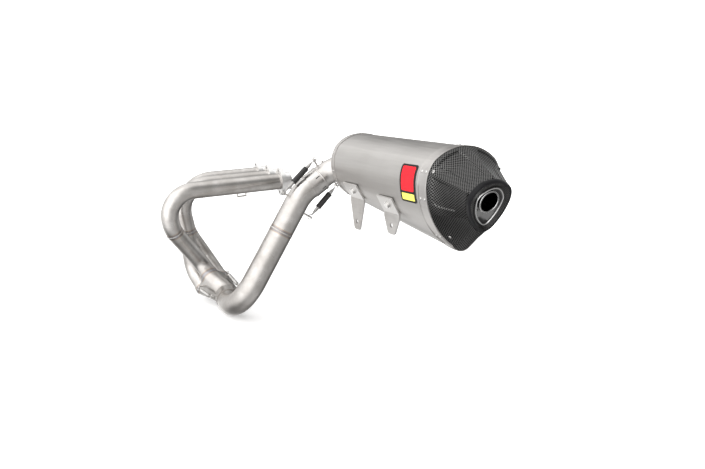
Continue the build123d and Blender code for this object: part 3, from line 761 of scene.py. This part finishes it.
def panel_mask(facet, t, s):
    """One inside a facet's recessed panel, nought outside it."""
    if facet not in PANELS:
        return 0.0
    t0, t1, s0, s1 = PANELS[facet]
    e = PANEL_EDGE
    inside = ease(t0 - e, t0 + e, t) * ease(t1 + e, t1 - e, t)
    return inside * ease(s0 - e, s0 + e, s) * ease(s1 + e, s1 - e, s)


def cap_point(facet, t, s):
    """The cap's outer skin: the arcs near the base flatten towards facets as they near the rim."""
    g0, g1 = CREASES[facet], CREASES[facet + 1]

    def skin(g):
        return base_point(g % 6, COLLAR_TO).lerp(rim_point(g % 6, 1.5), s)

    arc = skin(g0 + (g1 - g0) * t)
    chord = skin(g0).lerp(skin(g1), t)
    flat = arc.lerp(chord, FLAT[facet] * ease(0.0, 0.3, s))
    axis = Vector((BASE_CENTRE[0], flat.y, BASE_CENTRE[1])).lerp(RIM_AT, s)
    inward = (axis - flat).normalized()
    waist = ease(LIP_START - 0.03, LIP_START + 0.01, s) * WAIST_DEPTH
    return flat + inward * (PANEL_DEPTH * panel_mask(facet, t, s) + waist)


def grid_mesh(rows):
    """Vertices, faces and flat-mapped UVs of a grid of points in millimetres."""
    cols = len(rows[0])
    mid = rows[len(rows) // 2]
    u_dir = (mid[-1] - mid[0]).normalized()
    v_dir = (rows[-1][cols // 2] - rows[0][cols // 2]).normalized()
    v_dir = (v_dir - u_dir * v_dir.dot(u_dir)).normalized()
    points = [p for row in rows for p in row]
    uvs = [(p.dot(u_dir) * MM, p.dot(v_dir) * MM) for p in points]
    return [p * MM for p in points], grid_faces(len(rows), cols), uvs


def run_lengths(points):
    """How far along a line in millimetres each of its points is, in metres."""
    run = [0.0]
    for a, b in zip(points, points[1:]):
        run.append(run[-1] + (b - a).length * MM)
    return run


def build_cap_skin():
    """The faceted skin, from the collar to under the lip."""
    grids = []
    for facet, (g0, g1) in enumerate(zip(CREASES, CREASES[1:])):
        places = [(g0 + (g1 - g0) * k / FACET_COLS) % 6 for k in range(FACET_COLS + 1)]
        rows = [[base_point(g, y) for g in places] for y in (COLLAR_FROM, COLLAR_TO)]
        for j in range(1, FACET_ROWS + 1):
            s = LIP_START * j / FACET_ROWS + 0.01
            rows.append([cap_point(facet, k / FACET_COLS, s) for k in range(FACET_COLS + 1)])
        rows.append([rim_point(g, 8.5, -1.5) for g in places])
        grids.append(grid_mesh(rows))
    verts, faces = merge_parts([(v, f) for v, f, _ in grids])
    uvs = [uv for _, _, grid_uvs in grids for uv in grid_uvs]
    cap = make_mesh("carbon_cap_skin", verts, faces, MATS["carbon_fibre"], "muffler", uvs=uvs)
    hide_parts("carbon_end_cap")


def build_cap_rim():
    """The rolled lip, and the funnel from it in to the liner."""
    stations = [g * 6 / RIM_STEPS for g in range(RIM_STEPS + 1)]
    rows = [[rim_point(g, back, grow) for g in stations] for back, grow in LIP_SECTION]
    run = run_lengths(rows[0])
    verts, faces, _ = grid_mesh(rows)
    uvs = [(along, back * MM) for back, _ in LIP_SECTION for along in run]
    make_mesh("carbon_cap_lip", verts, faces, CARBON_DARK, "muffler", uvs=uvs)

    rows = []
    for j in range(FUNNEL_STEPS + 1):
        share = j / FUNNEL_STEPS
        rows.append([
            rim_point(g, *LIP_SECTION[-1]).lerp(liner_point(g, FUNNEL_DEPTH, 3.0), share)
            for g in stations])
    rows.append([liner_point(g, FUNNEL_DEPTH, 0.4) for g in stations])
    rows.append([liner_point(g, FUNNEL_DEPTH + 2, 0.4) for g in stations])
    verts, faces, _ = grid_mesh(rows)
    uvs = [(along, deep) for deep in run_lengths([row[0] for row in rows]) for along in run]
    make_mesh("carbon_cap_funnel", verts, faces, MATS["carbon_fibre"], "muffler", uvs=uvs)


LINER_EDGE_STEPS = 120
LINER_EDGE_R = 1.15 * MM
DAMPER_MOUTH = Vector((87.3, -742.8, 35.7)) * MM
DAMPER_TILT = math.radians(18)
DAMPER_ROLL_R = 16.6 * MM


def build_outlet_rings():
    """The rolled edges of the liner and of the removable tube; the edges are real, and their
    near-white steel is a painted highlight.
    """
    line = [liner_point(k * 6 / LINER_EDGE_STEPS, 5.4, 0.9) * MM for k in range(LINER_EDGE_STEPS)]
    verts, faces = tube(line, LINER_EDGE_R, 10, closed=True)
    make_mesh("liner_rolled_edge", verts, faces, HIGHLIGHT_STEEL, "muffler")
    axis = Vector((0, -math.cos(DAMPER_TILT), -math.sin(DAMPER_TILT)))
    profile = []
    for k in range(25):
        a = 2 * math.pi * k / 24
        profile.append((-1.3 * MM + 1.25 * MM * math.cos(a), DAMPER_ROLL_R + 1.3 * MM * math.sin(a)))
    verts, faces = lathe(DAMPER_MOUTH, axis, profile, 72)
    make_mesh("damper_rolled_mouth", verts, faces, HIGHLIGHT_STEEL, "damper")


build_outlet_rings()
build_cap_skin()
build_cap_rim()


# ---------------------------------------------------------------- badge
BADGE_Y, BADGE_Z = (-0.602, -0.646), (0.024, 0.084)
BADGE_COLS, BADGE_ROWS = 24, 30


def build_badge():
    """A rounded label on the left flank: a plain red block over a plain yellow strip."""
    skin = surface(NODES["outer_sleeve"].data)
    (y0, y1), (z0, z1) = BADGE_Y, BADGE_Z

    def wrap(u, v, lift):
        """A place on the badge, in shares of its width and height, lifted off the sleeve."""
        y = y0 + (y1 - y0) * u
        z = z0 + (z1 - z0) * v
        hit, normal, _, _ = skin.ray_cast(Vector((-0.4, y, z)), Vector((1, 0, 0)))
        out = normal if normal.x < 0 else -normal
        return hit + out * lift

    def patch(name, u0, u1, v0, v1, corner, lift, material, thick):
        """A patch with rounded corners and a skirt, in the badge's own shares of width and height."""
        wide, high = abs(y1 - y0), z1 - z0
        spots = []
        for j in range(BADGE_ROWS + 1):
            v = v0 + (v1 - v0) * j / BADGE_ROWS
            edge = min(v - v0, v1 - v) * high
            inset = corner - math.sqrt(max(0.0, corner ** 2 - max(0.0, corner - edge) ** 2))
            a, b = u0 + inset / wide, u1 - inset / wide
            spots += [(a + (b - a) * k / BADGE_COLS, v) for k in range(BADGE_COLS + 1)]
        verts = [wrap(u, v, lift) for u, v in spots]
        n = BADGE_COLS + 1
        faces = grid_faces(BADGE_ROWS + 1, n)
        border = list(range(n)) + [i * n + BADGE_COLS for i in range(1, BADGE_ROWS + 1)]
        border += [BADGE_ROWS * n + k for k in range(BADGE_COLS - 1, -1, -1)]
        border += [i * n for i in range(BADGE_ROWS - 1, 0, -1)]
        foot = len(verts)
        verts += [wrap(*spots[i], lift - thick) for i in border]
        for k in range(len(border)):
            m = (k + 1) % len(border)
            faces.append((border[k], border[m], foot + m, foot + k))
        return make_mesh(name, verts, faces, material, "muffler")

    black = MATS["badge_black"]
    plate = patch("badge_label", 0.0, 1.0, 0.0, 1.0, 3.0 * MM, 0.55 * MM, black, 0.5 * MM)
    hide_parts("badge_plate")
    patch("badge_red_block", 0.10, 0.90, 0.30, 0.95, 2.2 * MM, 0.62 * MM, BADGE_RED, 0.1 * MM)
    patch("badge_yellow_strip", 0.10, 0.90, 0.055, 0.235, 1.2 * MM, 0.62 * MM, BADGE_YELLOW, 0.1 * MM)


build_badge()


# ---------------------------------------------------------------- rivets, screws and bands
def stud_facts(points):
    """The outer end's centre, outward axis and radius of a short round stud on the muffler."""
    centre = points.mean(0)
    ends = np.unique(np.round(points, 6), axis=0)
    _, vectors = np.linalg.eigh(np.cov((ends - ends.mean(0)).T))
    best = None
    for k in range(3):
        axis = vectors[:, k]
        along = (ends - centre) @ axis
        radial = np.linalg.norm((ends - centre) - np.outer(along, axis), axis=1)
        spread = radial.std() / max(radial.mean(), 1e-9)
        if best is None or spread < best[0]:
            best = (spread, axis, along, radial)
    _, axis, along, radial = best
    inside = np.array([MUFFLER_X, points[:, 1].mean(), MUFFLER_Z])
    if (centre - inside) @ axis < 0:
        axis, along = -axis, -along
    return Vector(centre + axis * along.max()), Vector(axis), float(radial.max())


def build_rivets():
    """Domed rivet heads."""
    for node in sorted(n for n in NODES if n.endswith("rivets")):
        parts = []
        for points in islands(node):
            top, out, r = stud_facts(points)
            dome = [(-2.2 * MM, r * 0.98)]
            for k in range(9):
                a = math.pi / 2 * k / 8
                dome.append((-0.9 * MM + 0.9 * MM * math.sin(a), r * (0.98 * math.cos(a))))
            parts.append(lathe(top, out, dome, 20))
        verts, faces = merge_parts(parts)
        piece = make_mesh(f"{node}_domes", verts, faces, MATS["fastener_steel"], "muffler")
        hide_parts(node)


build_rivets()


def socket_head(top, out, r, height, sides=36):
    """A round screw head with a chamfer and a six-sided socket."""
    n, b = square_to(out)

    def six_sided(radius, turn):
        part = (turn + math.pi / 6) % (math.pi / 3) - math.pi / 6
        return radius * math.cos(math.pi / 6) / math.cos(part)

    chamfer = 0.5 * MM
    rings = [
        (-height, r, False),
        (-chamfer, r, False),
        (0, r - chamfer, False),
        (0, r * 0.5, True),
        (-0.6 * height, r * 0.5, True),
    ]
    verts = []
    for along, radius, six in rings:
        for k in range(sides):
            turn = 2 * math.pi * k / sides
            reach = six_sided(radius, turn) if six else radius
            verts.append(top + out * along + turned(n, b, turn) * reach)
    faces = ring_faces(len(rings), sides)
    faces.append(tuple(range((len(rings) - 1) * sides, len(rings) * sides)))
    return verts, faces


BAND_SECTORS = 120
BAND_ROLL_R = 0.55 * MM


def build_band_edges():
    """Rolled edges along both rims of the muffler's two bands."""
    for node in ("inlet_band", "outlet_band"):
        points = coords(node)
        low, high = points[:, 1].min(), points[:, 1].max()
        parts = []
        for y, rolled_y in ((low, low + 0.4 * MM), (high, high - 0.4 * MM)):
            rim = points[np.abs(points[:, 1] - y) < 0.05 * MM]
            c = (rim.min(0) + rim.max(0)) / 2
            angle = np.arctan2(rim[:, 2] - c[2], rim[:, 0] - c[0])
            radius = np.hypot(rim[:, 2] - c[2], rim[:, 0] - c[0])
            line = []
            for k in range(BAND_SECTORS):
                a = -math.pi + 2 * math.pi * k / BAND_SECTORS
                gap = np.abs((angle - a + math.pi) % (2 * math.pi) - math.pi)
                r = radius[np.argsort(gap)[:10]].max() - 0.35 * MM
                line.append(Vector((c[0] + math.cos(a) * r, rolled_y, c[2] + math.sin(a) * r)))
            for _ in range(3):
                after = line[1:] + line[:1]
                line = [(line[i - 1] + line[i] * 2 + after[i]) / 4 for i in range(BAND_SECTORS)]
            parts.append(tube(line, BAND_ROLL_R, closed=True))
        verts, faces = merge_parts(parts)
        sheet = MATS["titanium_sheet"]
        make_mesh(f"{node}_rolled_edges", verts, faces, sheet, "muffler")


build_band_edges()

# ---------------------------------------------------------------- slip joints and screw heads
CUP_R = 27.07 * MM
LOWER_CUP_DEPTH = 25.0  # millimetres
LOWER_SLIP, LOWER_DIR = Vector((-0.146, -0.130, -0.258)), Vector((-0.14501, -0.973636, -0.176083))
UPPER_SLIP, UPPER_DIR = Vector((0.038, -0.243, 0.022)), Vector((0.820775, -0.017843, 0.570974))
SLOT_COUNT, SLOT_STEPS = 6, 12
SLOT_FROM, SLOT_LENGTH, SLOT_HALF_WIDTH = 5 * MM, 11 * MM, 1.0 * MM


def cup_collar(name, mouth, inward):
    """The rolled mouth of a slip cup: a raised bead with a groove behind it."""
    wall = CUP_R - 0.1 * MM
    crest = wall + 0.3 * MM
    profile = [(0.0, wall - 1.2 * MM), (0.0, crest)]
    for k in range(9):
        a = math.pi * k / 8
        profile.append((1.6 * MM - 1.5 * MM * math.cos(a), crest + 1.0 * MM * math.sin(a)))
    profile += [(3.4 * MM, wall + 0.05 * MM), (4.2 * MM, wall - 0.02 * MM)]
    verts, faces = lathe(mouth, inward, profile, 72)
    make_mesh(name, verts, faces, MATS["titanium_tube"], "link_pipe")


def slot_shade_strips(name, mouth, inward):
    """Thin near-black strips of painted shade where the cup is slit, lying on its skin."""
    n, b = square_to(inward)
    parts = []
    for k in range(SLOT_COUNT):
        middle = 2 * math.pi * (k + 0.35) / SLOT_COUNT
        verts = []
        for i in range(SLOT_STEPS + 1):
            along = SLOT_FROM + SLOT_LENGTH * i / SLOT_STEPS
            edge = min(1, min(i, SLOT_STEPS - i) / 2)
            rounding = min(1.0, math.sqrt(max(0.0, 1 - (1 - edge) ** 2)) + 0.05)
            wide = SLOT_HALF_WIDTH * rounding / CUP_R
            for j in range(5):
                out = turned(n, b, middle + wide * (j / 2 - 1))
                verts.append(mouth + inward * along + out * (CUP_R + 0.06 * MM))
        parts.append((verts, grid_faces(SLOT_STEPS + 1, 5)))
    verts, faces = merge_parts(parts)
    make_mesh(name, verts, faces, SHADOW_METAL, "link_pipe")


cup_collar("upper_cup_collar", UPPER_SLIP, -UPPER_DIR)
cup_collar("lower_cup_collar", LOWER_SLIP + LOWER_DIR * -LOWER_CUP_DEPTH * MM, LOWER_DIR)
slot_shade_strips("upper_cup_slot_shade", UPPER_SLIP, -UPPER_DIR)


def build_screw_heads():
    """Socket heads on the cap's screws and on the bracket bolts."""
    skin = surface(bpy.data.objects["carbon_cap_skin"].data)
    steel = MATS["fastener_steel"]
    parts = []
    for points in islands("cap_screws"):
        top, out, r = stud_facts(points)
        hit = skin.ray_cast(top + out * 5 * MM, -out)[0]
        parts.append(socket_head((hit or top) + out * 1.1 * MM, out, r, 1.6 * MM))
    verts, faces = merge_parts(parts)
    piece = make_mesh("cap_screw_heads", verts, faces, steel, "muffler", smooth=False)
    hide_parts("cap_screws")

    parts = []
    for points in islands("bracket_bolts"):
        top, out, r = stud_facts(points)
        washer = [(-3.6 * MM, r + 2.2 * MM), (-3.2 * MM, r + 2.3 * MM), (-3.0 * MM, r), (-3.0 * MM, r)]
        parts.append(lathe(top, out, washer))
        parts.append(socket_head(top, out, r, 3.2 * MM))
    verts, faces = merge_parts(parts)
    make_mesh("bracket_bolt_heads", verts, faces, steel, "muffler", smooth=False)


build_screw_heads()

# ---------------------------------------------------------------- camera, floor and light
EYE = Vector((-0.489, -1.429, 0.173))
LOOK = Vector((0.444, 0.871, -0.208))
camera_data = bpy.data.cameras.new("camera")
camera_data.lens = 30.64
camera_data.sensor_width = 36.0
camera_data.clip_end = 100.0
camera = bpy.data.objects.new("camera", camera_data)
bpy.context.scene.collection.objects.link(camera)
camera.location = EYE
camera.rotation_mode = "QUATERNION"
camera.rotation_quaternion = LOOK.to_track_quat("-Z", "Y")
bpy.context.scene.camera = camera
bpy.context.scene.view_settings.view_transform = "Standard"

# A pale floor that glows more with distance, so it has no horizon.
FLOOR_HALF, FLOOR_GAP = 40.0, 0.001
floor_mesh = bpy.data.meshes.new("floor")
corners = [(x * FLOOR_HALF, y * FLOOR_HALF, 0) for x, y in ((-1, -1), (1, -1), (1, 1), (-1, 1))]
floor_mesh.from_pydata(corners, [], [(0, 1, 2, 3)])
floor = bpy.data.objects.new("floor", floor_mesh)
floor.location = (0, 0, CAD_BOX[0][2] - FLOOR_GAP)
bpy.context.scene.collection.objects.link(floor)
floor.visible_glossy = False
paper = Mat("pale_floor", Roughness=0.9)
paper.bsdf.inputs["Base Color"].default_value = (0.86, 0.86, 0.86, 1)
paper.bsdf.inputs["Emission Color"].default_value = (1, 1, 1, 1)
away = paper.vector("LENGTH", paper.coord.outputs["Object"])["Value"]
paper.link(paper.span(away, 0.26, 1.1, 0.7, 2.2), paper.bsdf.inputs["Emission Strength"])
floor_mesh.materials.append(paper.mat)

world = bpy.data.worlds.new("studio")
bpy.context.scene.world = world
world.use_nodes = True
wt = world.node_tree
wt.nodes.clear()
direction = wt.nodes.new("ShaderNodeTexCoord").outputs["Generated"]


def brighter(light, more):
    """The sum of some light and one more socket."""
    made = wt.nodes.new("ShaderNodeMath")
    made.operation = "ADD"
    wt.links.new(more, made.inputs[0])
    if isinstance(light, bpy.types.NodeSocket):
        wt.links.new(light, made.inputs[1])
    else:
        made.inputs[1].default_value = light
    return made.outputs[0]


def glow(toward, start, end, strength):
    """Light that rises smoothly as a direction turns toward one side of the studio."""
    dot = wt.nodes.new("ShaderNodeVectorMath")
    dot.operation = "DOT_PRODUCT"
    wt.links.new(direction, dot.inputs[0])
    dot.inputs[1].default_value = Vector(toward).normalized()
    rise = wt.nodes.new("ShaderNodeMapRange")
    rise.interpolation_type = "SMOOTHSTEP"
    wt.links.new(dot.outputs["Value"], rise.inputs["Value"])
    for key, value in (("From Min", start), ("From Max", end), ("To Min", 0.0), ("To Max", strength)):
        rise.inputs[key].default_value = value
    return rise.outputs["Result"]


# Each glow: its direction, the cosines where it starts and where it is full, and its strength.
BASE_LIGHT = 0.10
GLOWS = [
    ((-0.1, 0.25, 1), 0.5, 0.97, 1.25),
    ((-0.90, -0.35, 0.25), 0.3, 0.97, 1.6),
    ((-0.42, 0.88, 0.0), 0.55, 1.0, 0.85),
    ((0.05, 0.86, -0.5), 0.86, 1.0, 0.7),
    ((-0.50, -0.82, 0.25), 0.25, 1.0, 0.36),
    ((0.35, -0.70, -0.62), 0.35, 1.0, 0.45),
    ((0, 0, -1), 0.5, 0.97, 0.2),
    ((0.85, 0.35, 0.2), 0.75, 0.99, 0.5),
]
light = BASE_LIGHT
for settings in GLOWS:
    light = brighter(light, glow(*settings))
lit = wt.nodes.new("ShaderNodeBackground")
lit.inputs[0].default_value = (1.0, 0.995, 0.985, 1)
wt.links.new(light, lit.inputs[1])
seen = wt.nodes.new("ShaderNodeBackground")
seen.inputs[0].default_value = (1, 1, 1, 1)
seen.inputs[1].default_value = 1.05
mixer = wt.nodes.new("ShaderNodeMixShader")
wt.links.new(wt.nodes.new("ShaderNodeLightPath").outputs["Is Camera Ray"], mixer.inputs[0])
wt.links.new(lit.outputs[0], mixer.inputs[1])
wt.links.new(seen.outputs[0], mixer.inputs[2])
wt.links.new(mixer.outputs[0], wt.nodes.new("ShaderNodeOutputWorld").inputs[0])

AIM = Vector((-0.02, -0.33, -0.08))


def softbox(name, where, size, power):
    """An area lamp aimed at the exhaust; it doesn't show in reflections, only the glows do."""
    data = bpy.data.lights.new(name, "AREA")
    data.shape = "RECTANGLE"
    data.size, data.size_y = size
    data.energy = power
    lamp = bpy.data.objects.new(name, data)
    bpy.context.scene.collection.objects.link(lamp)
    lamp.visible_glossy = False
    lamp.location = where
    lamp.rotation_mode = "QUATERNION"
    lamp.rotation_quaternion = (AIM - Vector(where)).to_track_quat("-Z", "Y")


softbox("top_softbox", (-0.3, -0.2, 2.0), (1.3, 1.3), 14)
softbox("left_softbox", (-1.7, -1.3, 1.1), (1.0, 1.0), 13)
softbox("right_softbox", (1.9, -0.6, 0.7), (0.6, 1.4), 6)
